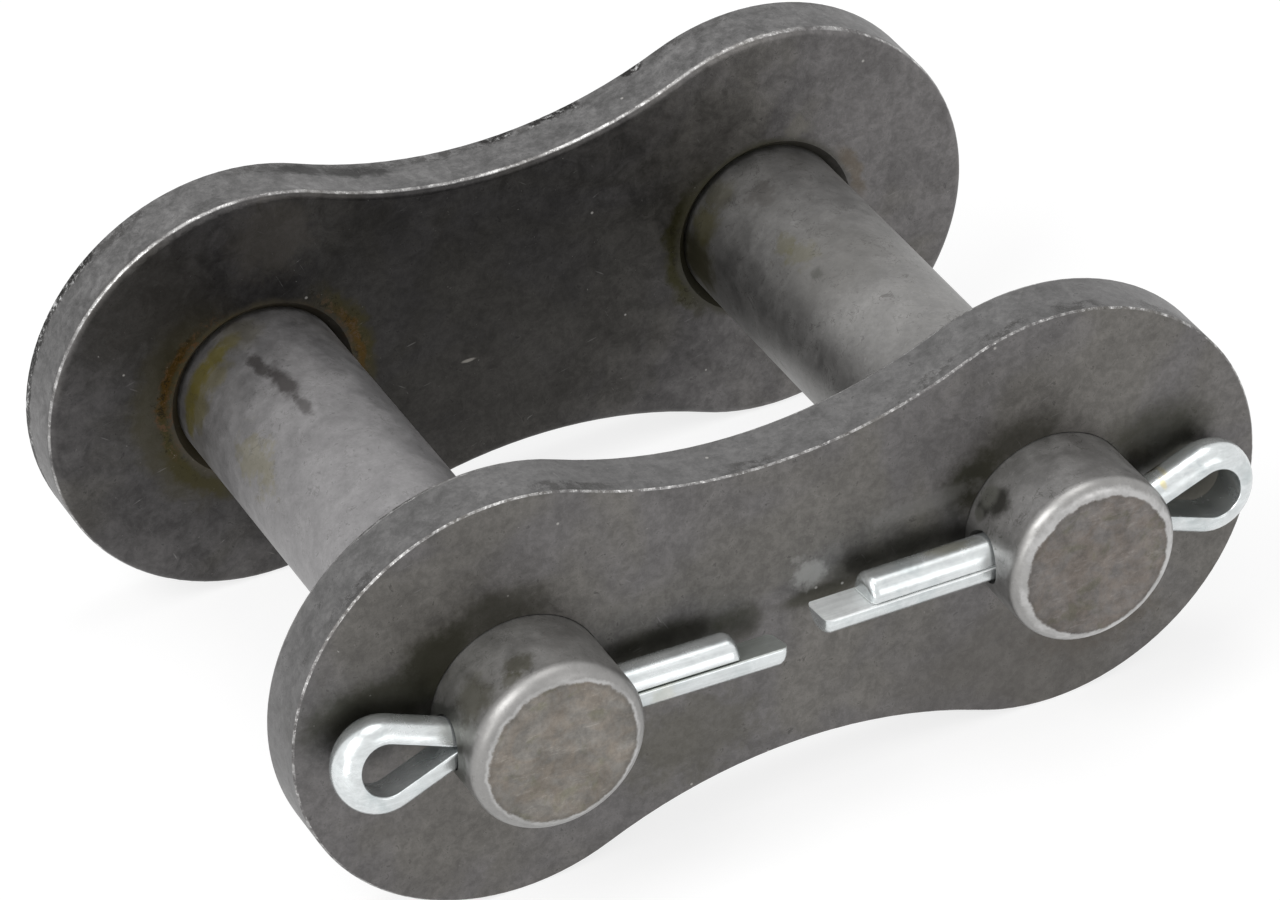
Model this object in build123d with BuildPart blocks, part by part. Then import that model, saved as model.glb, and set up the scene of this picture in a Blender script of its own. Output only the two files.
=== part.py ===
"""Connecting link of a single-strand roller chain, held together by two split cotters."""
import os
from math import asin, atan2, cos, degrees, hypot, radians, sin

from build123d import *

# Millimetres. X runs along the link, Y along its pins and away from the cover plate, Z is up.
# The origin is under the middle of the link, on the surface that its plates stand on.

# chain sizes
pitch = 31.75
inner_width = 29.45  # between the two plates
pin_diameter = 10.1

# link plates
plate_thickness = 3.6
lobe_radius = 12.6
lobe_offset = 0.3  # from a pin's axis out to the centre of the lobe around it
waist_height = 18.6
die_roll = 0.45  # rounding that blanking leaves round the inner face
burr_break = 0.1  # the burr side's edge, tumbled
hole_lead_in = 0.5
cover_clearance = 0.04  # radial, between a pin and the cover plate

# pins
pin_projection = 5.5  # past the cover plate
pin_end_round = 1.0
rivet_height = 1.2
rivet_flare = 0.45  # the riveted head's radius over the pin's
rivet_crown = 0.85  # rounding of the riveted head
centre_mark_radius = 1.4
centre_mark_depth = 0.4

# split cotters
wire_radius = 1.27  # half-round wire
wire_corner = 0.14
leg_gap = 0.06  # between the flats of the two legs
cotter_from_cover = 1.85  # from the cover plate's face to the cotter's axis
cotter_clearance = 0.05  # radial, in the cross hole
mouth_flare = 0.2
mouth_depth = 1.3
eye_radius = 1.42  # inside the eye
eye_reach = 3.8  # from the pin's side to the eye's centre
flare_inset = 1.05  # how deep in the cross hole the legs start to spread
flare_radius = 4.0
tip_round = 0.5
left_short_leg = 6.65  # past the pin
left_long_leg = 9.4
right_short_leg = 7.2
right_long_leg = 10.0

# degrees
left_cotter_roll = 15  # about the cross hole
right_cotter_roll = 6
left_pin_turn = 2.3  # about the pin, and its cotter with it
right_pin_turn = 1.4

# places worked out from the sizes above
pin_radius = pin_diameter / 2
pin_x = pitch / 2
pin_z = lobe_radius
overall_depth = pin_projection + 2 * plate_thickness + inner_width + rivet_height
pin_front = -overall_depth / 2
cover_face = pin_front + pin_projection
cover_back = cover_face + plate_thickness
back_plate_front = cover_back + inner_width
back_plate_rear = back_plate_front + plate_thickness
cotter_y = cover_face - cotter_from_cover
closed_radius = wire_radius + leg_gap / 2
cross_hole_radius = closed_radius + cotter_clearance


def link_plate(rear, hole_radius, inner_face_at_rear):
    """A blanked plate whose rear face is at Y = rear, with rounded lobes and a drawn-in waist."""
    lobe_x = pin_x + lobe_offset
    waist = waist_height / 2
    waist_radius = (lobe_x**2 + waist**2 - lobe_radius**2) / (2 * (lobe_radius - waist))
    reach = lobe_radius / (lobe_radius + waist_radius)
    blend_x = lobe_x * (1 - reach)
    blend_z = (waist + waist_radius) * reach
    lobe_end = lobe_x + lobe_radius

    with BuildPart() as blank:
        with BuildSketch(Plane.XZ.offset(-rear)):
            with BuildLine(Location((0, pin_z))):
                ThreePointArc((blend_x, -blend_z), (lobe_end, 0), (blend_x, blend_z))
                ThreePointArc((blend_x, blend_z), (0, waist), (-blend_x, blend_z))
                ThreePointArc((-blend_x, blend_z), (-lobe_end, 0), (-blend_x, -blend_z))
                ThreePointArc((-blend_x, -blend_z), (0, -waist), (blend_x, -blend_z))
            make_face()
            with Locations((-pin_x, pin_z), (pin_x, pin_z)):
                Circle(hole_radius, mode=Mode.SUBTRACT)
        extrude(amount=plate_thickness)

        front_face, rear_face = blank.faces().filter_by(Axis.Y).sort_by(Axis.Y)
        inner, outer = (rear_face, front_face) if inner_face_at_rear else (front_face, rear_face)
        mouths = [edge for wire in inner.inner_wires() for edge in wire.edges()]
        burr_edges = outer.outer_wire().edges()
        fillet(inner.outer_wire().edges(), die_roll)
        chamfer(mouths, hole_lead_in)
        chamfer(burr_edges, burr_break)
    return blank.part


def pin_axis(x):
    return Axis((x, 0, pin_z), (0, 1, 0))


def link_pin(x, turn):
    """A pin riveted behind the back plate and drilled across in front of the cover plate.

    turn is how far the cross hole is from level, as the pin was pressed in.
    """
    axis_plane = Plane(origin=(x, 0, pin_z), x_dir=(1, 0, 0), z_dir=(0, 0, 1))
    head_radius = pin_radius + rivet_flare
    head_rear = back_plate_rear + rivet_height

    with BuildPart() as pin:
        with BuildSketch(axis_plane):
            with BuildLine():
                Polyline(
                    (0, pin_front), (pin_radius, pin_front), (pin_radius, back_plate_rear),
                    (head_radius, back_plate_rear), (head_radius, head_rear),
                    (centre_mark_radius, head_rear), (0, head_rear - centre_mark_depth),
                    close=True,
                )
            make_face()
        revolve(axis=pin_axis(x))
        ends = pin.faces().filter_by(Axis.Y).sort_by(Axis.Y)
        fillet(ends[0].edges(), pin_end_round)
        fillet(ends[-1].outer_wire().edges(), rivet_crown)

        # cross hole with both of its mouths opened out
        hole_plane = Plane(origin=(x, cotter_y, pin_z), x_dir=(1, 0, 0), z_dir=(0, 0, 1))
        hole_end = pin_radius + mouth_depth
        end_radius = cross_hole_radius + 2 * mouth_flare
        with BuildSketch(hole_plane):
            with BuildLine():
                Polyline(
                    (-hole_end, 0), (-hole_end, end_radius), (mouth_depth - pin_radius, cross_hole_radius),
                    (pin_radius - mouth_depth, cross_hole_radius), (hole_end, end_radius), (hole_end, 0),
                    close=True,
                )
            make_face()
        revolve(axis=Axis((x, cotter_y, pin_z), (1, 0, 0)), mode=Mode.SUBTRACT)
    return pin.part.rotate(pin_axis(x), turn)


def split_cotter(x, toward, roll, turn, short_leg, long_leg):
    """Half-round wire folded flat to flat, the short leg on top and the eye across the pin from the tips.

    toward is +1 or -1, the way the tips point along X. roll turns the cotter about its own axis,
    and turn goes about the pin's axis, as its cross hole does.
    """
    fold = Plane(
        origin=(x, cotter_y, pin_z), x_dir=(toward, 0, 0), z_dir=(0, -cos(radians(roll)), sin(radians(roll)))
    )
    flat = leg_gap / 2
    flare_start = pin_radius - flare_inset
    eye_centre = pin_radius + eye_reach
    run = eye_centre - flare_start
    rise = flat + flare_radius
    spread = asin((eye_radius + flare_radius) / hypot(run, rise)) - atan2(rise, run)
    bend = degrees(spread)
    flare_end = (-flare_start - flare_radius * sin(spread), flat + flare_radius * (1 - cos(spread)))
    eye_start = (-eye_centre + eye_radius * sin(spread), eye_radius * cos(spread))
    first_leg, last_leg = (short_leg, long_leg) if toward > 0 else (long_leg, short_leg)
    first_tip = pin_radius + first_leg
    last_tip = pin_radius + last_leg

    with BuildPart() as cotter:
        with BuildLine(fold) as wire:
            leg = Line((first_tip, flat), (-flare_start, flat))
            flare = JernArc(leg @ 1, leg % 1, flare_radius, -bend)
            side = Line(flare @ 1, eye_start)
            eye = JernArc(side @ 1, side % 1, eye_radius, 180 + 2 * bend)
            other_side = Line(eye @ 1, (flare_end[0], -flare_end[1]))
            other_flare = JernArc(other_side @ 1, other_side % 1, flare_radius, -bend)
            Line(other_flare @ 1, (last_tip, -flat))
        start = Plane(origin=wire.line @ 0, x_dir=fold.z_dir, z_dir=wire.line % 0)
        with BuildSketch(start):
            with BuildLine():
                CenterArc((0, 0), wire_radius, 0, 180)
                Line((-wire_radius, 0), (wire_radius, 0))
            section = make_face()
            fillet(section.vertices(), wire_corner)
        sweep(path=wire.line)

        # the round side of each tip, domed over
        for tip, side in ((first_tip, 1), (last_tip, -1)):
            leg_end = fold.from_local_coords((tip, side * flat, 0))
            with BuildSketch(Plane(origin=leg_end, x_dir=fold.x_dir, z_dir=fold.y_dir * side)):
                with BuildLine():
                    dome = RadiusArc((-tip_round, wire_radius), (0, wire_radius - tip_round), tip_round)
                    Polyline(
                        dome @ 1, (tip_round, wire_radius - tip_round), (tip_round, wire_radius + tip_round),
                        (-tip_round, wire_radius + tip_round), dome @ 0,
                    )
                make_face()
            revolve(axis=Axis(leg_end, fold.x_dir), revolution_arc=180, mode=Mode.SUBTRACT)
    return cotter.part.rotate(pin_axis(x), turn)


cover_plate = link_plate(cover_back, pin_radius + cover_clearance, inner_face_at_rear=True)
cover_plate.label = "cover_plate"
back_plate = link_plate(back_plate_rear, pin_radius, inner_face_at_rear=False)
back_plate.label = "back_plate"
left_pin = link_pin(-pin_x, left_pin_turn)
left_pin.label = "left_pin"
right_pin = link_pin(pin_x, right_pin_turn)
right_pin.label = "right_pin"
left_cotter = split_cotter(-pin_x, 1, left_cotter_roll, left_pin_turn, left_short_leg, left_long_leg)
left_cotter.label = "left_cotter"
right_cotter = split_cotter(pin_x, -1, right_cotter_roll, right_pin_turn, right_short_leg, right_long_leg)
right_cotter.label = "right_cotter"

os.makedirs("parts", exist_ok=True)
for piece in (cover_plate, back_plate, left_pin, right_pin, left_cotter, right_cotter):
    export_step(piece, f"parts/{piece.label}.step")
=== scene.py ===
import math

import bpy
from mathutils import Matrix, Vector


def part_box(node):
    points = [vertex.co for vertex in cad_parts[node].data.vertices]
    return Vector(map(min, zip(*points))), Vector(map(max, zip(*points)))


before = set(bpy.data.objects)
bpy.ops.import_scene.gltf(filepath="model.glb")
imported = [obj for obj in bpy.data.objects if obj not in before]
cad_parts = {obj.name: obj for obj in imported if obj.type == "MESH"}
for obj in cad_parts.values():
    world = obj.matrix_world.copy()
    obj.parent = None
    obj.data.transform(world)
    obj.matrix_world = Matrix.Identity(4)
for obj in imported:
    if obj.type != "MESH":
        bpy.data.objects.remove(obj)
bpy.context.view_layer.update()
mm = 0.001
print("frame loaded:", ", ".join(sorted(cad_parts)))

# places read from the frame, in millimetres
pinX = (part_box("right_pin")[0][0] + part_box("right_pin")[1][0]) / 2 / mm
pinZ = (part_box("right_pin")[0][2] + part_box("right_pin")[1][2]) / 2 / mm
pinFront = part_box("right_pin")[0][1] / mm
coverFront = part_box("cover_plate")[0][1] / mm
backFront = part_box("back_plate")[0][1] / mm
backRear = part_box("back_plate")[1][1] / mm
cotterY = (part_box("left_cotter")[0][1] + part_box("left_cotter")[1][1]) / 2 / mm


# camera, in millimetres and degrees
cameraView = {
    "place": (-121.94, -270.48, 221.39),
    "aim": (-0.44, 0.42, 12.75),
    "roll": -4.07,
    "lens": 185.6,
    "sensor": 36,
}


def makeCamera(view):
    data = bpy.data.cameras.new("camera")
    data.lens = view["lens"]
    data.sensor_width = view["sensor"]
    camera = bpy.data.objects.new("camera", data)
    bpy.context.collection.objects.link(camera)
    place = Vector(view["place"]) * mm
    aim = Vector(view["aim"]) * mm
    turn = (aim - place).to_track_quat("-Z", "Y").to_matrix().to_4x4()
    roll = Matrix.Rotation(math.radians(view["roll"]), 4, "Z")
    camera.matrix_world = Matrix.Translation(place) @ turn @ roll
    bpy.context.scene.camera = camera


# addNode gives back the new node, and the short ways below it the output that the next one needs
def addNode(tree, kind, inputs=None, **settings):
    node = tree.nodes.new(kind)
    for key, value in settings.items():
        setattr(node, key, value)
    for key, value in (inputs or {}).items():
        if isinstance(value, bpy.types.NodeSocket):
            tree.links.new(value, node.inputs[key])
        else:
            node.inputs[key].default_value = value
    return node


def inMillimetres(tree):
    place = addNode(tree, "ShaderNodeTexCoord").outputs["Object"]
    return stretched(tree, place, (1 / mm, 1 / mm, 1 / mm))


def stretched(tree, vector, scale, turn=(0, 0, 0)):
    inputs = {"Vector": vector, "Rotation": turn, "Scale": scale}
    return addNode(tree, "ShaderNodeMapping", inputs).outputs[0]


def turned(tree, vector, degrees, axis):
    inputs = {"Vector": vector, "Angle": math.radians(degrees)}
    return addNode(tree, "ShaderNodeVectorRotate", inputs, rotation_type=axis + "_AXIS").outputs[0]


def noise(tree, place, scale, detail, roughness=0.55, distortion=0.0):
    inputs = {"Vector": place, "Scale": scale, "Detail": detail, "Roughness": roughness}
    inputs["Distortion"] = distortion
    return addNode(tree, "ShaderNodeTexNoise", inputs).outputs["Fac"]


def calc(tree, operation, first, second=0.0):
    return addNode(tree, "ShaderNodeMath", {0: first, 1: second}, operation=operation).outputs[0]


def times(tree, first, *others):
    for other in others:
        first = calc(tree, "MULTIPLY", first, other)
    return first


def spread(tree, value, low, high, toLow=0.0, toHigh=1.0):
    # goes smoothly from toLow to toHigh while the value goes from low to high
    inputs = {"Value": value, "From Min": low, "From Max": high, "To Min": toLow, "To Max": toHigh}
    return addNode(tree, "ShaderNodeMapRange", inputs, interpolation_type="SMOOTHSTEP").outputs[0]


# a Mix node's sockets go by number: 0 is the factor, 2 and 3 are its values, 6 and 7 its colours
def blendColour(tree, factor, under, over, mode="MIX"):
    inputs = {0: factor, 6: asColour(under), 7: asColour(over)}
    return addNode(tree, "ShaderNodeMix", inputs, data_type="RGBA", blend_type=mode).outputs[2]


def asColour(value):
    return value if isinstance(value, bpy.types.NodeSocket) else (*value, 1)


def blendValue(tree, factor, under, over):
    return addNode(tree, "ShaderNodeMix", {0: factor, 2: under, 3: over}, data_type="FLOAT").outputs[0]


def shadeBy(tree, colour, level):
    grey = addNode(tree, "ShaderNodeCombineColor", {0: level, 1: level, 2: level}).outputs[0]
    return blendColour(tree, 1.0, colour, grey, "MULTIPLY")


def distanceFrom(tree, place, centre, along=(1, 1, 1)):
    gap = addNode(tree, "ShaderNodeVectorMath", {0: place, 1: centre}, operation="SUBTRACT").outputs[0]
    flat = addNode(tree, "ShaderNodeVectorMath", {0: gap, 1: along}, operation="MULTIPLY").outputs[0]
    return addNode(tree, "ShaderNodeVectorMath", {0: flat}, operation="LENGTH").outputs["Value"]


def distanceFromPin(tree, place, side):
    return distanceFrom(tree, place, (side * pinX, 0, pinZ), (1, 0, 1))


def axisPart(tree, vector, axis):
    return addNode(tree, "ShaderNodeSeparateXYZ", {0: vector}).outputs[axis]


def bumpFrom(tree, height, depth):
    inputs = {"Height": height, "Distance": depth * mm, "Strength": 1.0}
    return addNode(tree, "ShaderNodeBump", inputs).outputs[0]


# studio, with its floor in metres and its lamps in millimetres
studio = {
    "floorSize": 3.0,
    "floorColour": (0.9, 0.9, 0.9, 1),
    "floorGlow": 0.78,
    "floorShade": (0.3, 0.3, 0.3, 1),
    "skyColour": (1, 1, 1, 1),
    "skyStrength": 0.45,
    "seenSkyStrength": 1.0,
    "lamps": [
        {"name": "key", "place": (-380, -150, 470), "size": 300, "power": 1.5},
        {"name": "top", "place": (60, 40, 640), "size": 320, "power": 0.7},
        {"name": "left", "place": (-540, -330, 130), "size": 180, "power": 0.4},
        {"name": "front", "place": (260, -580, 320), "size": 260, "power": 0.25},
    ],
}


def seenDirectly(tree):
    # 1 for what the camera sees, itself or in metal
    rays = addNode(tree, "ShaderNodeLightPath").outputs
    mirrored = calc(tree, "MAXIMUM", rays["Is Glossy Ray"], rays["Is Transmission Ray"])
    return calc(tree, "MAXIMUM", rays["Is Camera Ray"], mirrored)


def makeFloor(settings):
    bpy.ops.mesh.primitive_plane_add(size=settings["floorSize"])
    floor = bpy.context.object
    floor.name = "floor"
    material = bpy.data.materials.new("floor")
    material.use_nodes = True
    tree = material.node_tree
    tree.nodes.clear()
    paper = addNode(tree, "ShaderNodeBsdfDiffuse", {"Color": settings["floorColour"]}).outputs[0]
    dimmed = addNode(tree, "ShaderNodeBsdfDiffuse", {"Color": settings["floorShade"]}).outputs[0]
    glow = addNode(tree, "ShaderNodeEmission", {"Strength": settings["floorGlow"]}).outputs[0]
    white = addNode(tree, "ShaderNodeAddShader", {0: dimmed, 1: glow}).outputs[0]
    mixed = addNode(tree, "ShaderNodeMixShader", {0: seenDirectly(tree), 1: paper, 2: white}).outputs[0]
    addNode(tree, "ShaderNodeOutputMaterial", {"Surface": mixed})
    floor.data.materials.append(material)


def makeSky(settings):
    world = bpy.data.worlds.new("sky")
    bpy.context.scene.world = world
    world.use_nodes = True
    tree = world.node_tree
    tree.nodes.clear()
    skies = []
    for strength in (settings["skyStrength"], settings["seenSkyStrength"]):
        inputs = {"Strength": strength, "Color": settings["skyColour"]}
        skies.append(addNode(tree, "ShaderNodeBackground", inputs).outputs[0])
    lit, seen = skies
    mixed = addNode(tree, "ShaderNodeMixShader", {0: seenDirectly(tree), 1: lit, 2: seen}).outputs[0]
    addNode(tree, "ShaderNodeOutputWorld", {"Surface": mixed})


def makeLamp(lamp):
    data = bpy.data.lights.new(lamp["name"], "AREA")
    data.shape = "SQUARE"
    data.size = lamp["size"] * mm
    data.energy = lamp["power"]
    light = bpy.data.objects.new(lamp["name"], data)
    bpy.context.collection.objects.link(light)
    light.location = Vector(lamp["place"]) * mm
    towardPart = Vector((0, 0, pinZ)) * mm - light.location
    light.rotation_euler = towardPart.to_track_quat("-Z", "Y").to_euler()
    light.visible_camera = False


makeCamera(cameraView)
makeFloor(studio)
makeSky(studio)
for lamp in studio["lamps"]:
    makeLamp(lamp)
print("studio ready")


# noises by name: scale per millimetre, detail, roughness, distortion
waves = {
    "clouds": (0.16, 4, 0.6),
    "patches": (0.62, 5, 0.7),
    "grains": (1.9, 5, 0.72),
    "flecks": (1.9, 4, 0.8, 0.4),
    "plateRagged": (0.9, 6, 0.7),
    "pinRagged": (1.1, 6, 0.7),
    "wireRagged": (1.5, 4, 0.6),
    "crust": (2.4, 4, 0.8, 0.5),
    "crumbs": (2.7, 4, 0.75),
    "cracks": (0.75, 4, 0.65, 0.8),
    "drawing": (1.0, 4, 0.65),
}
# where each noise of the mottling starts and stops counting
mottleRanges = {
    "clouds": (0.3, 0.7),
    "patches": (0.32, 0.68),
    "grains": (0.25, 0.75),
    "darkFlecks": (0.58, 0.7),
    "brightFlecks": (0.28, 0.42),
    "roughPatches": (0.3, 0.7),
}
# how much of the clouds' swirl the finer noises have
patchSwirl = 0.6
grainSwirl = 0.3
# how strong the bright flecks are beside the dark ones
brightFleckShare = 0.8
# masks and levels by name: a noise, the range of it that counts, and what that range becomes if not 0 to 1
patterns = {
    # plates
    "warmth": ((0.09, 3, 0.6, 0.8), (0.42, 0.6)),
    "rolledEdge": ((1.1, 6, 0.8, 0.4), (0.34, 0.66), (-1.0, 1.0)),
    "scuffs": ((1.0, 4, 0.7, 0.4), (0.66, 0.76)),
    "scuffedAreas": ((0.22, 3), (0.5, 0.62), (0.0, 0.75)),
    "hairAreas": ((0.35, 3), (0.48, 0.62), (0.0, 0.3)),
    "chips": ((3.1, 3, 0.85, 0.5), (0.7, 0.78), (0.0, 0.75)),
    # stretches, sparkle and peaks of the painted highlight on the rolled edge and the burr
    "wearAndHighlightStretches": ((0.7, 6, 0.75), (0.36, 0.64), (0.0, 0.95)),
    "paintedSparkle": ((2.2, 5, 0.85), (0.55, 0.66)),
    "burrHighlightStretches": ((1.7, 6, 0.8), (0.42, 0.62)),
    "highlightPeaks": ((2.6, 4, 0.85), (0.52, 0.6)),
    "tornStretches": ((0.2, 2, 0.5), (0.42, 0.56)),
    "gouges": ((1.4, 5, 0.8), (0.4, 0.56)),
    # pins
    "crackedAreas": ((0.6, 3), (0.5, 0.58)),
    "brown": ((0.5, 5, 0.7, 0.8), (0.36, 0.64)),
    "olive": ((0.55, 4, 0.6, 0.5), (0.54, 0.66), (0.0, 0.55)),
    "faceGrain": ((1.2, 6, 0.78, 0.2), (0.3, 0.7), (0.78, 1.22)),
    "faceClouds": ((0.33, 3, 0.5, 0.6), (0.35, 0.65), (0.88, 1.14)),
    "sawCuts": ((1.0, 5, 0.75, 0.3), (0.58, 0.66), (0.0, 0.35)),
    "ridgeStretches": ((0.5, 4, 0.7), (0.35, 0.6), (0.3, 1.0)),
    "hammerRings": ((1.3, 3, 0.6), (0.4, 0.6), (-1.0, 1.0)),
    # cotters
    "coolAreas": ((0.45, 4, 0.6), (0.5, 0.7), (0.0, 0.5)),
}


def wave(tree, place, name):
    return noise(tree, place, *waves[name])


def pattern(tree, place, name):
    shape, counted, *levels = patterns[name]
    return spread(tree, noise(tree, place, *shape), *counted, *(levels[0] if levels else ()))


def raggedness(tree, place, name, reach):
    # how far outlines stray to either side, in millimetres
    return times(tree, calc(tree, "SUBTRACT", wave(tree, place, name), 0.5), reach)


# marks are soft ragged spots, or arcs of stain round a pin. size is how far a spot reaches,
# squash over 1 narrows it that way, and crust is the range of a noise that breaks it into crumbs
def spot(at, size, strength, colour, **shape):
    return {"at": at, "size": size, "strength": strength, "colour": colour, **shape}


def arc(pin, radius, width, at, size, strength, colour, **shape):
    return {"pin": pin, "radius": radius, "width": width, **spot(at, size, strength, colour, **shape)}


# where a mark starts to fade, and where it ends, as shares of its size or width
spotFade = (0.45, 1.15)
arcFade = (0.3, 1.0)


def strayed(tree, reach, mark, ragged):
    return calc(tree, "ADD", reach, times(tree, ragged, mark.get("ragged", 1.0)))


def spotMask(tree, place, mark, ragged):
    reach = distanceFrom(tree, place, mark["at"], mark.get("squash", (1, 1, 1)))
    if "ring" in mark:
        reach = calc(tree, "ABSOLUTE", calc(tree, "SUBTRACT", reach, mark["ring"]))
    reach = strayed(tree, reach, mark, ragged)
    start, end = [mark["size"] * part for part in spotFade]
    return spread(tree, reach, start, end, mark["strength"], 0.0)


def arcMask(tree, place, mark, ragged):
    radius = strayed(tree, distanceFromPin(tree, place, mark["pin"]), mark, ragged)
    off = calc(tree, "ABSOLUTE", calc(tree, "SUBTRACT", radius, mark["radius"]))
    start, end = [mark["width"] * part for part in arcFade]
    return times(tree, spread(tree, off, start, end, 1.0, 0.0), spotMask(tree, place, mark, ragged))


def paintMarks(tree, place, colour, marks, ragged):
    # gives back the painted colour, and where dirt or rust covers the metal
    crust = wave(tree, place, "crust") if any("crust" in mark for mark in marks) else None
    matte = 0.0
    for mark in marks:
        mask = (arcMask if "pin" in mark else spotMask)(tree, place, mark, ragged)
        if "crust" in mark:
            mask = times(tree, mask, spread(tree, crust, *mark["crust"]))
        colour = blendColour(tree, mask, colour, mark["colour"])
        if "matte" in mark:
            matte = calc(tree, "MAXIMUM", matte, times(tree, mask, mark["matte"]))
    return colour, matte


def newFinish(name, metallic=1.0):
    material = bpy.data.materials.new(name)
    material.use_nodes = True
    tree = material.node_tree
    shader = tree.nodes["Principled BSDF"]
    shader.inputs["Metallic"].default_value = metallic
    return material, tree, shader


def mottle(tree, place, finish):
    # how bright the metal is from place to place: slow clouds, millimetre patches, grain, and flecks
    cloud, patch, grain, fleck = [finish[part] for part in ("cloud", "patch", "grain", "fleck")]
    clouds = noise(tree, place, *waves["clouds"], finish["swirl"])
    patches = noise(tree, place, *waves["patches"], patchSwirl * finish["swirl"])
    grains = noise(tree, place, *waves["grains"], grainSwirl * finish["swirl"])
    flecks = wave(tree, place, "flecks")
    level = times(
        tree,
        spread(tree, clouds, *mottleRanges["clouds"], 1 - cloud, 1 + cloud),
        spread(tree, patches, *mottleRanges["patches"], 1 - patch, 1 + patch),
        spread(tree, grains, *mottleRanges["grains"], 1 - grain, 1 + grain),
        spread(tree, flecks, *mottleRanges["darkFlecks"], 1.0, 1 - fleck),
        spread(tree, flecks, *mottleRanges["brightFlecks"], 1 + fleck * brightFleckShare, 1.0),
    )
    return level, patches, grains, flecks


def roughFrom(tree, patches, finish):
    smooth, coarse = finish["roughness"]
    return spread(tree, patches, *mottleRanges["roughPatches"], smooth, coarse)


# plates
plateFinish = {
    "tone": (0.149, 0.143, 0.142),
    "warmTone": (0.15, 0.143, 0.134),
    "edgeTone": (0.175, 0.172, 0.171),
    "scuffTone": (0.26, 0.255, 0.25),
    "speckTone": (0.42, 0.41, 0.39),
    # the worn rolled edge and burr with their painted highlight, and the highlight's brightest peaks
    "wearAndHighlightTone": (0.4, 0.395, 0.39),
    "peakHighlightTone": (0.78, 0.77, 0.76),
    "tornTone": (0.05, 0.048, 0.046),
    "cloud": 0.07,
    "patch": 0.13,
    "grain": 0.23,
    "fleck": 0.42,
    "swirl": 1.0,
    "roughness": (0.4, 0.5),
    "wornPolish": 0.16,
    "straying": 3.0,
    # how far a surface has to turn sideways to count as edge, and as the rolled edge round the inner face
    "edgeStart": (0.5, 0.9),
    "rollStart": (0.3, 0.45),
    "rollEnd": (0.62, 0.85),
    # how much painted sparkle the rolled edge's highlight has
    "paintedSparkle": 0.7,
    # the least and the most that the burr's slope still faces outward
    "burrSlope": (0.3, 0.95),
    "torn": {"width": 1.1, "ragged": 0.5, "start": (0.0, 0.35), "strength": 0.65},
    # angle and stretch of the broad scratches, angle and share of the hairlines
    "scuffs": ((20, (0.45, 1, 4.5)), (-65, (0.4, 1, 5))),
    "hairs": ((12, 0.08), (-38, 0.06)),
    "specks": {"scale": 0.62, "size": 0.07, "share": 0.14, "strength": 0.8},
    "heights": {"grains": 0.8, "flecks": 0.6, "crumbs": 6.0},
    "bump": 0.025,
}
# oil, darkened further as painted shadow where the pins, eyes and legs shade the cover
oilAndPaintedShadow = (0.044, 0.043, 0.031)
coverMarks = [
    # oil, darkened further as painted shadow, round the left pin, its cotter's eye and its legs
    spot((-20.0, coverFront, 16.6), 2.5, 0.9, oilAndPaintedShadow, ragged=0.7),
    spot((-23.6, coverFront, 15.0), 3.2, 0.85, oilAndPaintedShadow, squash=(0.6, 1, 1.5), ragged=0.7),
    spot((-16.8, coverFront, 18.2), 1.9, 0.65, oilAndPaintedShadow, squash=(0.55, 1, 1), ragged=0.7),
    spot((-7.6, coverFront, 12.9), 3.7, 0.75, oilAndPaintedShadow, squash=(0.8, 1, 2.6), ragged=0.45),
    spot((-2.9, coverFront, 12.4), 1.4, 0.6, oilAndPaintedShadow, squash=(0.85, 1, 1), ragged=0.4),
    # oil, darkened further as painted shadow, round the right one and inside its cotter's eye, and two pale
    # worn spots
    spot((6.8, coverFront, 13.2), 4.0, 0.6, oilAndPaintedShadow, squash=(0.8, 1, 2.4), ragged=0.5),
    spot((1.9, coverFront, 12.6), 1.7, 0.7, oilAndPaintedShadow, squash=(0.6, 1, 2.6), ragged=0.4),
    spot((11.6, coverFront, 16.2), 2.3, 0.9, oilAndPaintedShadow, ragged=0.7),
    spot((14.4, coverFront, 18.0), 1.8, 0.6, oilAndPaintedShadow, squash=(0.6, 1, 1), ragged=0.7),
    spot((22.7, coverFront, 15.3), 3.0, 0.7, oilAndPaintedShadow, squash=(0.8, 1, 1.2), ragged=0.7),
    spot((25.0, coverFront, 11.6), 2.3, 0.75, oilAndPaintedShadow, squash=(0.75, 1, 1), ragged=0.3),
    spot((1.4, coverFront, 14.2), 1.1, 0.65, (0.33, 0.33, 0.32), ragged=0.9),
    spot((8.6, coverFront, 16.0), 1.6, 0.3, (0.27, 0.265, 0.26), squash=(0.4, 1, 2.2), ragged=1.2),
    # faint stains
    spot((-6.0, coverFront, 6.0), 3.4, 0.35, (0.09, 0.085, 0.06), squash=(0.7, 1, 1.1), ragged=2.2),
    spot((18.5, coverFront, 4.4), 3.0, 0.35, (0.105, 0.085, 0.062), squash=(0.7, 1, 1.3), ragged=2.0),
    spot((12.7, coverFront, 3.0), 7.5, 0.4, (0.09, 0.084, 0.08), squash=(0.8, 1, 1.4), ragged=1.5),
]
rust = (0.078, 0.045, 0.012)
oldOil = (0.05, 0.044, 0.018)
tornSteel = (0.03, 0.029, 0.028)
crustShade = (0.022, 0.019, 0.012)
dent = (0.3, 0.285, 0.26)
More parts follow.
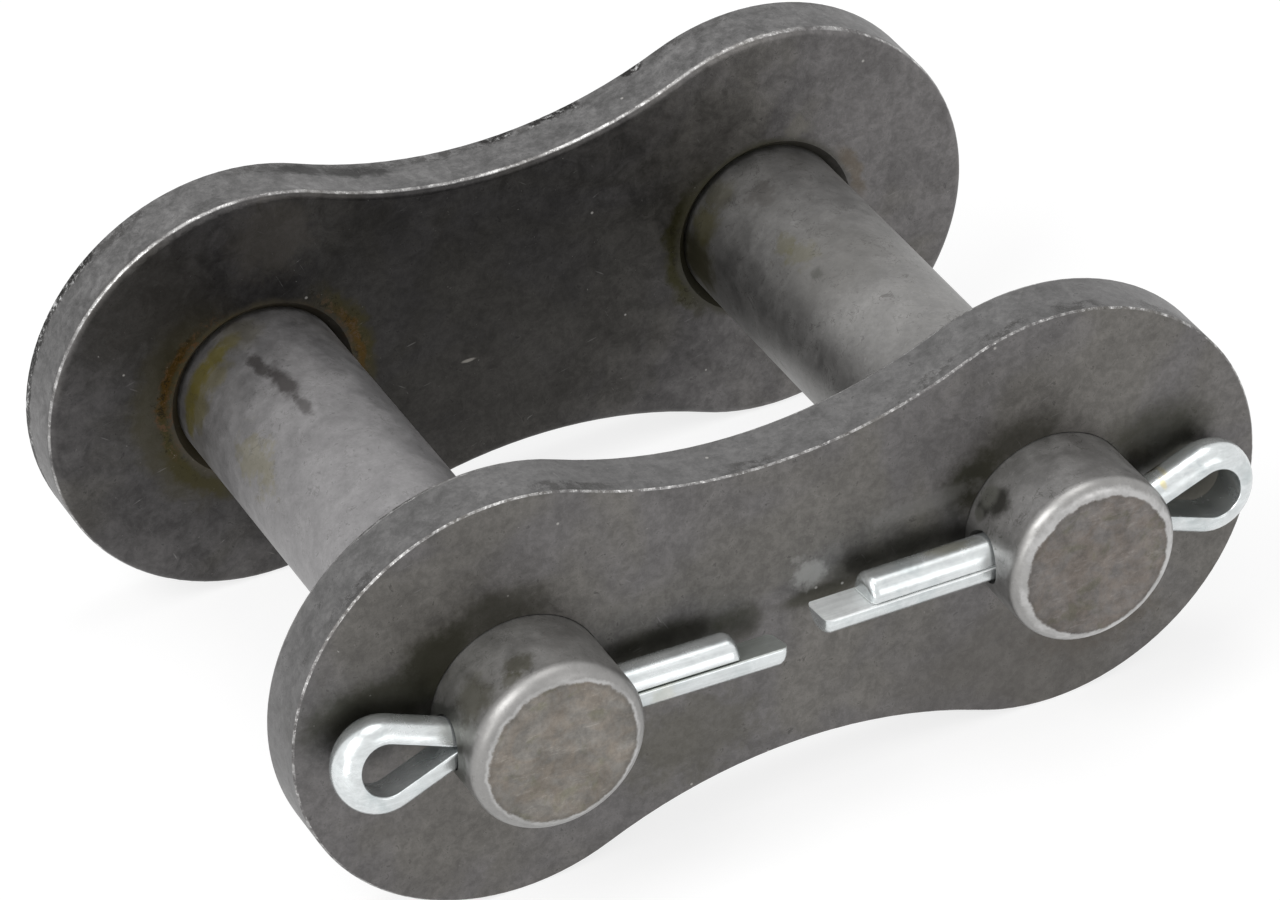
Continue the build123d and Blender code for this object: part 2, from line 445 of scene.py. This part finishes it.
backMarks = [
    arc(-1, 6.9, 1.6, (-21.9, backFront, 12.9), 7.5, 0.6, (0.06, 0.054, 0.032), ragged=0.8),
    arc(-1, 6.0, 0.6, (-21.2, backFront, 13.0), 5.0, 0.9, oldOil, ragged=0.45),
    arc(-1, 6.15, 0.42, (-21.1, backFront, 15.4), 3.0, 0.95, rust, ragged=0.5),
    arc(-1, 6.5, 0.9, (-20.4, backFront, 8.4), 3.2, 0.8, oldOil, ragged=0.6),
    arc(-1, 6.3, 1.0, (-9.9, backFront, 14.6), 4.2, 0.8, oldOil, ragged=0.7),
    arc(-1, 6.1, 0.4, (-9.9, backFront, 14.0), 3.0, 0.8, rust, ragged=0.5),
    arc(1, 5.9, 1.0, (10.2, backFront, 12.6), 5.0, 0.85, (0.04, 0.038, 0.014), ragged=0.6),
    arc(1, 6.2, 0.6, (21.8, backFront, 14.6), 2.2, 0.45, (0.11, 0.08, 0.04), ragged=0.6),
    arc(-1, 5.3, 0.8, (-20.0, backFront, 13.5), 11.0, 1.0, (0.036, 0.028, 0.011), ragged=0.25, matte=0.9),
    arc(1, 5.3, 0.8, (11.8, backFront, 13.5), 11.0, 1.0, (0.036, 0.033, 0.017), ragged=0.25, matte=0.9),
    arc(-1, 6.0, 0.8, (-20.6, backFront, 14.6), 5.0, 0.9, (0.074, 0.029, 0.004),
        ragged=0.5, crust=(0.52, 0.6), matte=0.8),
    arc(-1, 6.0, 1.0, (-20.8, backFront, 13.4), 6.0, 0.85, crustShade, ragged=0.5, crust=(0.45, 0.37)),
    arc(-1, 6.0, 0.75, (-10.4, backFront, 14.8), 4.0, 0.85, (0.06, 0.029, 0.005),
        ragged=0.5, crust=(0.52, 0.6), matte=0.8),
    arc(-1, 6.1, 0.9, (-10.6, backFront, 15.6), 4.5, 0.8, crustShade, ragged=0.5, crust=(0.45, 0.37)),
    arc(1, 5.9, 1.0, (10.6, backFront, 12.0), 4.2, 0.7, crustShade, ragged=0.6, crust=(0.47, 0.39)),
    # dirt round the riveted heads
    arc(-1, 5.6, 0.75, (-pinX, backRear, pinZ), 14.0, 0.7, oldOil, squash=(1, 6, 1), ragged=0.3),
    arc(1, 5.6, 0.75, (pinX, backRear, pinZ), 14.0, 0.7, oldOil, squash=(1, 6, 1), ragged=0.3),
    spot((-11.2, backRear - 0.9, 24.2), 1.7, 0.95, tornSteel, squash=(0.65, 2.2, 1), ragged=1.1),
    spot((-8.4, backRear - 1.1, 23.2), 1.6, 0.95, tornSteel, squash=(0.6, 2.4, 1), ragged=1.1),
    # painted shade on the inner face's upper left
    spot((-22.7, backFront, 20.8), 5.5, 0.45, (0.04, 0.037, 0.03), squash=(1, 9, 1), ragged=1.2),
    spot((-14.5, backFront, 22.3), 3.0, 0.35, (0.13, 0.118, 0.1), squash=(1, 9, 1), ragged=1.5),
    spot((18.2, backFront, 18.7), 1.0, 0.4, (0.2, 0.19, 0.16), ragged=1.0),
    # a short bright dent
    spot((-3.3, backFront, 10.1), 0.22, 0.7, dent, squash=(0.42, 1, 1.8), ragged=0.1),
]
# outerFace is where the sheared side of the plate is, and outward is the way that it looks along Y
coverPlate = {
    **plateFinish,
    "marks": coverMarks,
    "outerFace": coverFront,
    "outward": -1.0,
    "edge": 0.87,
    "edgeMottle": 0.1,
}
backPlate = {
    **plateFinish,
    "marks": backMarks,
    "outerFace": backRear,
    "outward": 1.0,
    "edge": 0.86,
    "edgeMottle": 0.22,
    "cloud": 0.1,
    "patch": 0.19,
    # painted shade on the inner face, which the cover plate shades, with some oil
    "paintedShade": {
        "centre": (-5, backFront, 13),
        "squash": (0.8, 0, 1),
        "straying": 5.0,
        "reach": (10, 25),
        "shade": (0.37, 1.08),
        "alongX": (-32, 18),
        "alongShade": (0.63, 0.95),
        "inside": (0.5, 0.75),
    },
    "crumbTones": ((0.025, 0.024, 0.023), (0.14, 0.138, 0.135), (0.5, 0.5, 0.5)),
    "crumbSteps": ((0.51, 0.55), (0.58, 0.62)),
    "brokenFade": 0.7,
    "brokenRagged": 0.45,
    "brokenDepth": (0.45, 0.75),
    "broken": [
        {"at": (-25.4, backRear, 21.3), "size": 2.6},
        {"at": (-27.4, backRear, 18.4), "size": 2.6},
        {"at": (-28.6, backRear, 14.9), "size": 2.6},
        {"at": (-28.9, backRear, 11.6), "size": 2.3},
        {"at": (-28.7, backRear, 8.6), "size": 2.4},
        {"at": (0.9, backRear, 21.9), "size": 1.2},
        {"at": (4.5, backRear, 22.3), "size": 1.9},
        {"at": (9.6, backRear, 23.5), "size": 0.9},
    ],
}


def scuffs(tree, place, angle, stretch):
    # faint broad scratches, from a noise drawn out along one way
    return pattern(tree, stretched(tree, turned(tree, place, angle, "Y"), stretch), "scuffs")


def scatter(tree, place, scale, size, share):
    # a small round speck, soft over its outer half, in a share of the cells
    cells = addNode(tree, "ShaderNodeTexVoronoi", {"Vector": place, "Scale": scale})
    dot = spread(tree, cells.outputs["Distance"], size * 0.5, size, 1.0, 0.0)
    pick = axisPart(tree, cells.outputs["Color"], "X")
    return times(tree, dot, calc(tree, "LESS_THAN", pick, share))


dashStretch = (0.5, 0.6, 4.2)
dashSize = 0.2


def dashes(tree, place, angle, share):
    # short straight hairlines, which are specks drawn out along one way
    drawn = stretched(tree, turned(tree, place, angle, "Y"), dashStretch)
    return scatter(tree, drawn, 1.0, dashSize, share)


def scratches(tree, place, plate):
    broad = calc(tree, "MAXIMUM", *[scuffs(tree, place, *each) for each in plate["scuffs"]])
    hairs = calc(tree, "MAXIMUM", *[dashes(tree, place, *each) for each in plate["hairs"]])
    broad = times(tree, broad, pattern(tree, place, "scuffedAreas"))
    hairs = times(tree, hairs, pattern(tree, place, "hairAreas"))
    return calc(tree, "MAXIMUM", broad, hairs)


def paintedInnerShade(tree, place, facing, patches, paintedShade):
    # painted shade on the inner face, with some oil, darkest between the pins and towards the left
    reach = distanceFrom(tree, place, paintedShade["centre"], paintedShade["squash"])
    reach = calc(tree, "ADD", reach, times(tree, patches, paintedShade["straying"]))
    shade = spread(tree, reach, *paintedShade["reach"], *paintedShade["shade"])
    shade = times(tree, shade, spread(tree, axisPart(tree, place, "X"), *paintedShade["alongX"], *paintedShade["alongShade"]))
    inside = spread(tree, times(tree, facing, -1.0), *paintedShade["inside"])
    return blendValue(tree, inside, 1.0, shade)


def rolledWearAndHighlight(tree, place, sideways, outward, plate):
    # the rolled edge round the inner face, worn, with a painted highlight nearly all along
    start = spread(tree, sideways, *plate["rollStart"])
    band = times(tree, start, spread(tree, sideways, *plate["rollEnd"], 1.0, 0.0))
    band = times(tree, band, calc(tree, "LESS_THAN", outward, 0.0))
    paintedSparkle = times(tree, pattern(tree, place, "paintedSparkle"), plate["paintedSparkle"])
    return times(tree, band, calc(tree, "MAXIMUM", pattern(tree, place, "wearAndHighlightStretches"), paintedSparkle))


def burrWearAndHighlight(tree, place, outward, plate):
    # the narrow slope of the burr round the outer face, worn, with a painted highlight in short stretches
    least, most = plate["burrSlope"]
    slope = times(tree, calc(tree, "GREATER_THAN", outward, least), calc(tree, "LESS_THAN", outward, most))
    return times(tree, slope, pattern(tree, place, "burrHighlightStretches"))


def tornBand(tree, place, depth, edge, ragged, plate):
    # the torn band that shearing leaves along the outer part of the edge
    torn = plate["torn"]
    start = plate["outerFace"] - plate["outward"] * torn["width"]
    beyond = times(tree, calc(tree, "SUBTRACT", depth, start), plate["outward"])
    beyond = calc(tree, "ADD", beyond, times(tree, ragged, torn["ragged"]))
    band = times(tree, spread(tree, beyond, *torn["start"]), pattern(tree, place, "tornStretches"), edge)
    return times(tree, band, pattern(tree, place, "gouges"))


def brokenRim(tree, place, depth, edge, ragged, plate):
    # stretches where the rear rim broke away
    near = 0.0
    for stretch in plate["broken"]:
        size = stretch["size"]
        away = distanceFrom(tree, place, stretch["at"])
        near = calc(tree, "MAXIMUM", near, spread(tree, away, size * plate["brokenFade"], size, 1.0, 0.0))
    inward = calc(tree, "SUBTRACT", plate["outerFace"], depth)
    inward = calc(tree, "ADD", inward, times(tree, ragged, plate["brokenRagged"]))
    return times(tree, near, spread(tree, inward, *plate["brokenDepth"], 1.0, 0.0), edge)


def crumbColour(tree, crumbs, plate):
    dark, grey, bright = plate["crumbTones"]
    toGrey, toBright = [spread(tree, crumbs, *step) for step in plate["crumbSteps"]]
    return blendColour(tree, toBright, blendColour(tree, toGrey, dark, grey), bright)


def plateSteel(name, plate):
    material, tree, shader = newFinish(name)
    place = inMillimetres(tree)
    depth = axisPart(tree, place, "Y")
    ragged = raggedness(tree, place, "plateRagged", plate["straying"])
    level, patches, grains, flecks = mottle(tree, place, plate)
    geometry = addNode(tree, "ShaderNodeNewGeometry").outputs
    facing = axisPart(tree, geometry["Normal"], "Y")
    trueFacing = axisPart(tree, geometry["True Normal"], "Y")
    sideways = calc(tree, "SUBTRACT", 1.0, calc(tree, "ABSOLUTE", facing))
    edge = spread(tree, sideways, *plate["edgeStart"])

    colour = blendColour(tree, pattern(tree, place, "warmth"), plate["tone"], plate["warmTone"])
    colour = blendColour(tree, edge, colour, [part * plate["edge"] for part in plate["edgeTone"]])
    rolled = times(tree, pattern(tree, place, "rolledEdge"), edge, plate["edgeMottle"])
    colour = shadeBy(tree, colour, times(tree, level, calc(tree, "ADD", rolled, 1.0)))
    # painted shade on the back plate's inner face
    if "paintedShade" in plate:
        colour = shadeBy(tree, colour, paintedInnerShade(tree, place, facing, patches, plate["paintedShade"]))
    colour, matte = paintMarks(tree, place, colour, plate["marks"], ragged)
    colour = blendColour(tree, scratches(tree, place, plate), colour, plate["scuffTone"])
    speck = plate["specks"]
    specks = scatter(tree, place, speck["scale"], speck["size"], speck["share"])
    specks = times(tree, specks, speck["strength"])
    specks = calc(tree, "MAXIMUM", pattern(tree, place, "chips"), specks)
    colour = blendColour(tree, specks, colour, plate["speckTone"])

    # painted highlight on the worn rolled edge and burr, brightest at its peaks
    wornAndHighlight = rolledWearAndHighlight(tree, place, sideways, times(tree, facing, plate["outward"]), plate)
    burrHighlight = burrWearAndHighlight(tree, place, times(tree, trueFacing, plate["outward"]), plate)
    bright = calc(tree, "MAXIMUM", wornAndHighlight, burrHighlight)
    colour = blendColour(tree, bright, colour, plate["wearAndHighlightTone"])
    colour = blendColour(tree, times(tree, bright, pattern(tree, place, "highlightPeaks")), colour, plate["peakHighlightTone"])
    gouges = tornBand(tree, place, depth, edge, ragged, plate)
    colour = blendColour(tree, times(tree, gouges, plate["torn"]["strength"]), colour, plate["tornTone"])

    heights = plate["heights"]
    height = calc(tree, "ADD", patches, times(tree, grains, heights["grains"]))
    height = calc(tree, "SUBTRACT", height, times(tree, flecks, heights["flecks"]))
    height = calc(tree, "SUBTRACT", height, gouges)
    if "broken" in plate:
        crumbs = wave(tree, place, "crumbs")
        broken = brokenRim(tree, place, depth, edge, ragged, plate)
        colour = blendColour(tree, broken, colour, crumbColour(tree, crumbs, plate))
        height = calc(tree, "ADD", height, times(tree, broken, crumbs, heights["crumbs"]))
    if any("matte" in mark for mark in plate["marks"]):
        tree.links.new(calc(tree, "SUBTRACT", 1.0, matte), shader.inputs["Metallic"])
    rough = calc(tree, "SUBTRACT", roughFrom(tree, patches, plate), times(tree, wornAndHighlight, plate["wornPolish"]))
    tree.links.new(colour, shader.inputs["Base Color"])
    tree.links.new(rough, shader.inputs["Roughness"])
    tree.links.new(bumpFrom(tree, height, plate["bump"]), shader.inputs["Normal"])
    return material


def shifted(blend, start):
    return [start + part for part in blend]


# pins
pinFinish = {
    "cloud": 0.08,
    "patch": 0.09,
    "grain": 0.12,
    "fleck": 0.3,
    "swirl": 0.15,
    "roughness": (0.46, 0.54),
    "ridgeRoughness": 0.3,
    "faceRoughness": 0.06,
    "faceRadius": 4.3,
    "rim": (0.3, 0.295, 0.288),
    "crackTone": (0.09, 0.086, 0.08),
    "centreTone": (0.1, 0.096, 0.088),
    "outlineTone": (0.07, 0.062, 0.054),
    "straying": 3.0,
    # along Y, from the cover plate's face, from the pin's front end and from the back plate's rear face
    "outerBlend": (-0.6, 1.0),
    "faceDepth": 0.12,
    "rimBlend": (0.6, 1.2),
    "headBlend": (0.2, 0.5),
    # along the radius, from faceRadius, where the cut face ends
    "faceBlend": (-0.12, 0.06),
    "outlineBlend": (-0.4, -0.05),
    "faceRagged": 0.22,
    "outlineStrength": 0.22,
    "rimMottle": 0.6,
    "ringBrightness": 0.16,
    "centre": {"blend": (1.0, 1.6), "ragged": 0.15, "strength": 0.7},
    "crackWidth": (0.004, 0.014),
    "heights": {"face": 2.0, "flecks": 0.5},
    "bump": 0.014,
}
# what the cut face's tone is multiplied by in its parts
faceTints = {
    "cool": (0.97, 1.0, 1.04),
    "brown": (1.02, 0.98, 0.95),
    "olive": (0.78, 0.82, 0.66),
    "cut": (1.6, 1.62, 1.66),
}
sawStretch = (0.7, 1, 2.6)
sawTurn = (0, math.radians(62), 0)
stainOnPins = (0.25, 0.22, 0.066)
smudge = (0.075, 0.068, 0.066)
nickShade = (0.055, 0.054, 0.046)
leftPinMarks = [
    spot((-17.9, 15.8, 17.2), 0.9, 0.6, stainOnPins, ragged=0.5, squash=(1, 1.3, 1)),
    spot((-18.9, 15.7, 16.65), 1.2, 0.85, stainOnPins, ragged=0.55, squash=(1, 1.5, 1)),
    spot((-19.9, 15.8, 15.6), 1.3, 0.9, stainOnPins, ragged=0.55, squash=(1, 1.6, 1)),
    spot((-20.6, 15.8, 14.2), 1.2, 0.9, stainOnPins, ragged=0.55, squash=(1, 1.6, 1)),
    spot((-20.9, 15.6, 12.9), 1.2, 0.8, stainOnPins, ragged=0.55, squash=(1, 1.6, 1)),
    spot((-20.7, 14.7, 14.3), 1.4, 0.6, stainOnPins, ragged=0.7, squash=(1, 1.2, 1)),
    spot((-19.5, 14.6, 16.2), 1.3, 0.45, stainOnPins, ragged=0.8, squash=(1, 1.2, 1)),
    spot((-20.3, 7.4, 15.0), 1.5, 0.3, stainOnPins, ragged=1.6, squash=(1, 0.6, 1)),
    spot((-17.6, 12.7, 17.35), 0.55, 0.8, smudge, ragged=0.4, squash=(1.2, 0.38, 1)),
    spot((-17.1, 10.2, 17.5), 0.8, 0.85, smudge, ragged=0.35, squash=(1.2, 0.42, 1)),
    spot((-17.1, 7.6, 17.5), 0.5, 0.6, smudge, ragged=0.4, squash=(1.3, 0.36, 1)),
    spot((-17.1, -19.6, 17.5), 0.85, 0.6, (0.09, 0.085, 0.05), ragged=0.7),
    spot((-17.9, -20.2, 17.2), 0.6, 0.5, (0.09, 0.085, 0.05), ragged=0.7),
    spot((-21.0, cotterY, 12.8), 1.0, 0.6, (0.08, 0.085, 0.07), ring=1.5, ragged=0.8),
    spot((-20.6, -20.4, 14.4), 1.3, 0.45, (0.13, 0.13, 0.11), ragged=1.0),
    spot((-17.3, 15.9, 17.4), 1.6, 0.4, (0.16, 0.14, 0.07), ragged=0.8),
    spot((-19.6, -19.2, 16.0), 1.5, 0.5, (0.1, 0.095, 0.05), ragged=0.8),
    spot((-19.6, -19.3, 16.0), 0.55, 0.5, (0.24, 0.235, 0.21), ragged=0.4),
]
rightPinMarks = [
    spot((14.2, 5.6, 17.4), 4.2, 0.4, (0.15, 0.145, 0.135), ragged=1.6),
    spot((10.85, 15.6, 12.6), 2.0, 0.85, (0.09, 0.082, 0.04), ragged=0.7, squash=(1, 0.8, 1)),
    spot((11.4, 15.6, 15.0), 1.4, 0.7, (0.19, 0.175, 0.085), ragged=0.8),
    spot((12.6, 15.9, 16.5), 1.2, 0.5, (0.16, 0.15, 0.09), ragged=0.8),
    spot((13.1, 8.9, 16.8), 0.8, 0.4, (0.17, 0.158, 0.08), ragged=1.2),
    spot((13.4, 7.2, 17.0), 1.1, 0.35, (0.17, 0.158, 0.08), ragged=1.2),
    spot((13.25, 5.2, 16.9), 0.5, 0.6, (0.1, 0.1, 0.09), ragged=0.4),
    spot((14.2, 13.5, 17.4), 1.1, 0.4, (0.12, 0.11, 0.1), ragged=1.2),
    # a nick in the stub: a pale lump with painted shadow round it
    spot((12.05, coverFront - 1.75, 15.85), 1.0, 0.9, nickShade, ragged=0.35),
    spot((11.55, coverFront - 0.9, 15.2), 0.7, 0.9, nickShade, ragged=0.2),
    spot((11.95, coverFront - 0.85, 15.75), 0.78, 1.0, (0.24, 0.24, 0.22), ragged=0.15),
    spot((11.3, coverFront - 0.8, 14.75), 0.45, 0.85, (0.22, 0.22, 0.2), ragged=0.15),
]
leftPin = {
    **pinFinish,
    "side": -1,
    "between": (0.29, 0.284, 0.286),
    "outer": (0.305, 0.3, 0.291),
    # the ridge's tone is a painted highlight on burnished steel
    "ridgeHighlight": (0.46, 0.455, 0.45),
    "face": (0.235, 0.217, 0.193),
    "ridgeBlend": (0.08, 0.24),
    "rimRoughness": 0.42,
    "cracks": 0.3,
    "marks": leftPinMarks,
}
rightPin = {
    **pinFinish,
    "side": 1,
    "between": (0.25, 0.246, 0.24),
    "outer": (0.33, 0.325, 0.32),
    # the ridge's tone is a painted highlight on burnished steel
    "ridgeHighlight": (0.5, 0.495, 0.49),
    "face": (0.184, 0.168, 0.155),
    "ridgeBlend": (0.25, 0.5),
    "rimRoughness": 0.36,
    "cracks": 0.5,
    "marks": rightPinMarks,
}


def hairCracks(tree, place, pin):
    # thin lines where a noise passes its middle value
    offMiddle = calc(tree, "ABSOLUTE", calc(tree, "SUBTRACT", wave(tree, place, "cracks"), 0.5))
    line = spread(tree, offMiddle, *pin["crackWidth"], 1.0, 0.0)
    return times(tree, line, pattern(tree, place, "crackedAreas"))


def cutFace(tree, place, tone):
    # the sawn end: brown and olive areas and bright saw cuts, with how bright it is from place to place
    tints = {name: [part * tint for part, tint in zip(tone, tints)] for name, tints in faceTints.items()}
    colour = blendColour(tree, pattern(tree, place, "brown"), tints["cool"], tints["brown"])
    colour = blendColour(tree, pattern(tree, place, "olive"), colour, tints["olive"])
    cuts = pattern(tree, stretched(tree, place, sawStretch, sawTurn), "sawCuts")
    colour = blendColour(tree, cuts, colour, tints["cut"])
    level = times(tree, pattern(tree, place, "faceGrain"), pattern(tree, place, "faceClouds"))
    return shadeBy(tree, colour, level), level


def rivetedHead(tree, colour, depth, radius, ragged, pin):
    # behind the back plate: hammered rings and a dark centre mark
    head = spread(tree, depth, *shifted(pin["headBlend"], backRear))
    alongRadius = addNode(tree, "ShaderNodeCombineXYZ", {0: radius}).outputs[0]
    rings = times(tree, pattern(tree, alongRadius, "hammerRings"), head, pin["ringBrightness"])
    colour = shadeBy(tree, colour, calc(tree, "ADD", 1.0, rings))
    mark = pin["centre"]
    outline = calc(tree, "ADD", radius, times(tree, ragged, mark["ragged"]))
    centre = times(tree, spread(tree, outline, *mark["blend"], 1.0, 0.0), head, mark["strength"])
    return blendColour(tree, centre, colour, pin["centreTone"])


def pinSteel(name, pin):
    material, tree, shader = newFinish(name)
    place = inMillimetres(tree)
    depth = axisPart(tree, place, "Y")
    ragged = raggedness(tree, place, "pinRagged", pin["straying"])
    level, patches, grains, flecks = mottle(tree, place, pin)

    # the drilled end, in front of the cover, is lighter than the part between the plates
    outer = spread(tree, depth, *shifted(pin["outerBlend"], coverFront), 1.0, 0.0)
    colour = shadeBy(tree, blendColour(tree, outer, pin["between"], pin["outer"]), level)
    colour, _ = paintMarks(tree, place, colour, pin["marks"], ragged)
    cracks = times(tree, hairCracks(tree, place, pin), pin["cracks"])
    colour = blendColour(tree, cracks, colour, pin["crackTone"])

    # the front end: a cut face inside a ragged outline, a burnished ridge with a painted highlight just
    # outside it, and the round rim
    radius = distanceFromPin(tree, place, pin["side"])
    torn = calc(tree, "ADD", radius, times(tree, ragged, pin["faceRagged"]))
    faceRadius = pin["faceRadius"]
    face = spread(tree, torn, *shifted(pin["faceBlend"], faceRadius), 1.0, 0.0)
    face = times(tree, face, calc(tree, "LESS_THAN", depth, pinFront + pin["faceDepth"]))
    rim = spread(tree, depth, *shifted(pin["rimBlend"], pinFront), 1.0, 0.0)
    rim = times(tree, rim, calc(tree, "SUBTRACT", 1.0, face))
    colour = blendColour(tree, rim, colour, pin["rim"])
    colour = blendColour(tree, times(tree, rim, pin["rimMottle"]), colour, shadeBy(tree, colour, level))
    # the ridge: burnished, with a painted highlight
    ridgeHighlight = spread(tree, torn, *shifted(pin["ridgeBlend"], faceRadius), 1.0, 0.0)
    ridgeHighlight = times(tree, ridgeHighlight, rim, pattern(tree, place, "ridgeStretches"))
    colour = blendColour(tree, ridgeHighlight, colour, pin["ridgeHighlight"])
    colour = rivetedHead(tree, colour, depth, radius, ragged, pin)
    faceColour, faceLevel = cutFace(tree, place, pin["face"])
    outline = spread(tree, torn, *shifted(pin["outlineBlend"], faceRadius))
    outline = times(tree, face, outline, pin["outlineStrength"])
    faceColour = blendColour(tree, outline, faceColour, pin["outlineTone"])
    colour = blendColour(tree, face, colour, faceColour)

    rough = blendValue(tree, rim, roughFrom(tree, patches, pin), pin["rimRoughness"])
    rough = blendValue(tree, ridgeHighlight, rough, pin["ridgeRoughness"])
    rough = calc(tree, "ADD", rough, times(tree, face, pin["faceRoughness"]))
    heights = pin["heights"]
    height = calc(tree, "ADD", grains, times(tree, face, faceLevel, heights["face"]))
    height = calc(tree, "SUBTRACT", height, times(tree, flecks, heights["flecks"]))
    tree.links.new(colour, shader.inputs["Base Color"])
    tree.links.new(rough, shader.inputs["Roughness"])
    tree.links.new(bumpFrom(tree, height, pin["bump"]), shader.inputs["Normal"])
    return material


# cotters
cotterFinish = {
    "tone": (0.69, 0.72, 0.725),
    "coolTone": (0.47, 0.53, 0.54),
    "cloud": 0.03,
    "patch": 0.05,
    "grain": 0.05,
    "fleck": 0.05,
    "swirl": 1.0,
    "streak": 0.07,
    "streakRange": (0.3, 0.7),
    "streakStretch": (0.1, 3.4, 3.4),
    "metal": 0.82,
    "roughness": (0.22, 0.28),
    "straying": 2.0,
    "flatReach": 0.1,
    "bump": 0.005,
}
yellowed = (0.4, 0.37, 0.22)
goldEdge = (0.75, 0.68, 0.42)
# roll and turn, in degrees, are how the cotter stands; its marks are placed along its own axes
leftCotter = {
    **cotterFinish,
    "side": -1,
    "roll": 15,
    "turn": 2.3,
    "flatRoughness": 0.42,
    # the flats are darker here, a painted reflection of the dark plate
    "flatPaintedShading": (0.5, 0.53, 0.51),
    "marks": [
        spot((7.0, -1.1, -0.6), 0.8, 0.35, (0.5, 0.48, 0.38), ragged=0.6),
    ],
}
rightCotter = {
    **cotterFinish,
    "side": 1,
    "roll": 6,
    "turn": 1.4,
    "flatRoughness": 0.62,
    # the flats are lighter here, painted light
    "flatPaintedShading": (0.82, 0.84, 0.84),
    "marks": [
        spot((-7.0, 0.1, 1.3), 0.7, 0.45, yellowed, ragged=0.5, squash=(0.45, 1, 1)),
        spot((6.0, 0.7, 1.3), 0.8, 0.9, (0.13, 0.1, 0.03), ragged=0.25, squash=(1.1, 1, 1)),
        spot((6.35, 0.6, 1.4), 0.34, 1.0, goldEdge, ragged=0.12, squash=(1.5, 0.7, 0.8)),
        spot((6.1, -0.1, 1.55), 0.36, 1.0, goldEdge, ragged=0.12, squash=(1.5, 0.6, 0.8)),
        spot((5.75, -0.65, 1.35), 0.32, 0.9, goldEdge, ragged=0.12, squash=(1.5, 0.6, 0.8)),
    ],
}


def cotterPlace(tree, place, cotter):
    # from the middle of the cross hole, x along the legs and z across their flats
    centre = (cotter["side"] * pinX, cotterY, pinZ)
    own = addNode(tree, "ShaderNodeVectorMath", {0: place, 1: centre}, operation="SUBTRACT").outputs[0]
    return turned(tree, turned(tree, own, -cotter["turn"], "Y"), cotter["roll"], "X")


def zincWire(name, cotter):
    material, tree, shader = newFinish(name, cotter["metal"])
    place = inMillimetres(tree)
    own = cotterPlace(tree, place, cotter)
    ragged = raggedness(tree, place, "wireRagged", cotter["straying"])
    level, patches, _, _ = mottle(tree, place, cotter)
    lines = wave(tree, stretched(tree, own, cotter["streakStretch"]), "drawing")
    streak = cotter["streak"]
    level = times(tree, level, spread(tree, lines, *cotter["streakRange"], 1 - streak, 1 + streak))

    # the flats of the two legs, past the middle of the pin on the tips' side; their tone, set for each
    # cotter, is painted light and shade
    across = calc(tree, "ABSOLUTE", axisPart(tree, own, "Z"))
    beyondPin = times(tree, axisPart(tree, own, "X"), -cotter["side"])
    flats = calc(tree, "LESS_THAN", across, cotter["flatReach"])
    flats = times(tree, flats, calc(tree, "GREATER_THAN", beyondPin, 0.0))
    colour = blendColour(tree, pattern(tree, place, "coolAreas"), cotter["tone"], cotter["coolTone"])
    colour = blendColour(tree, flats, colour, cotter["flatPaintedShading"])
    colour, _ = paintMarks(tree, own, shadeBy(tree, colour, level), cotter["marks"], ragged)
    rough = blendValue(tree, flats, roughFrom(tree, patches, cotter), cotter["flatRoughness"])
    tree.links.new(colour, shader.inputs["Base Color"])
    tree.links.new(rough, shader.inputs["Roughness"])
    tree.links.new(bumpFrom(tree, lines, cotter["bump"]), shader.inputs["Normal"])
    return material


def dress(node, material):
    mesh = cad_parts[node].data
    mesh.materials.clear()
    mesh.materials.append(material)


dress("cover_plate", plateSteel("coverSteel", coverPlate))
dress("back_plate", plateSteel("backSteel", backPlate))
dress("left_pin", pinSteel("leftPinSteel", leftPin))
dress("right_pin", pinSteel("rightPinSteel", rightPin))
dress("left_cotter", zincWire("leftZinc", leftCotter))
dress("right_cotter", zincWire("rightZinc", rightCotter))
print("finishes on")

bpy.context.scene.view_settings.view_transform = "Standard"
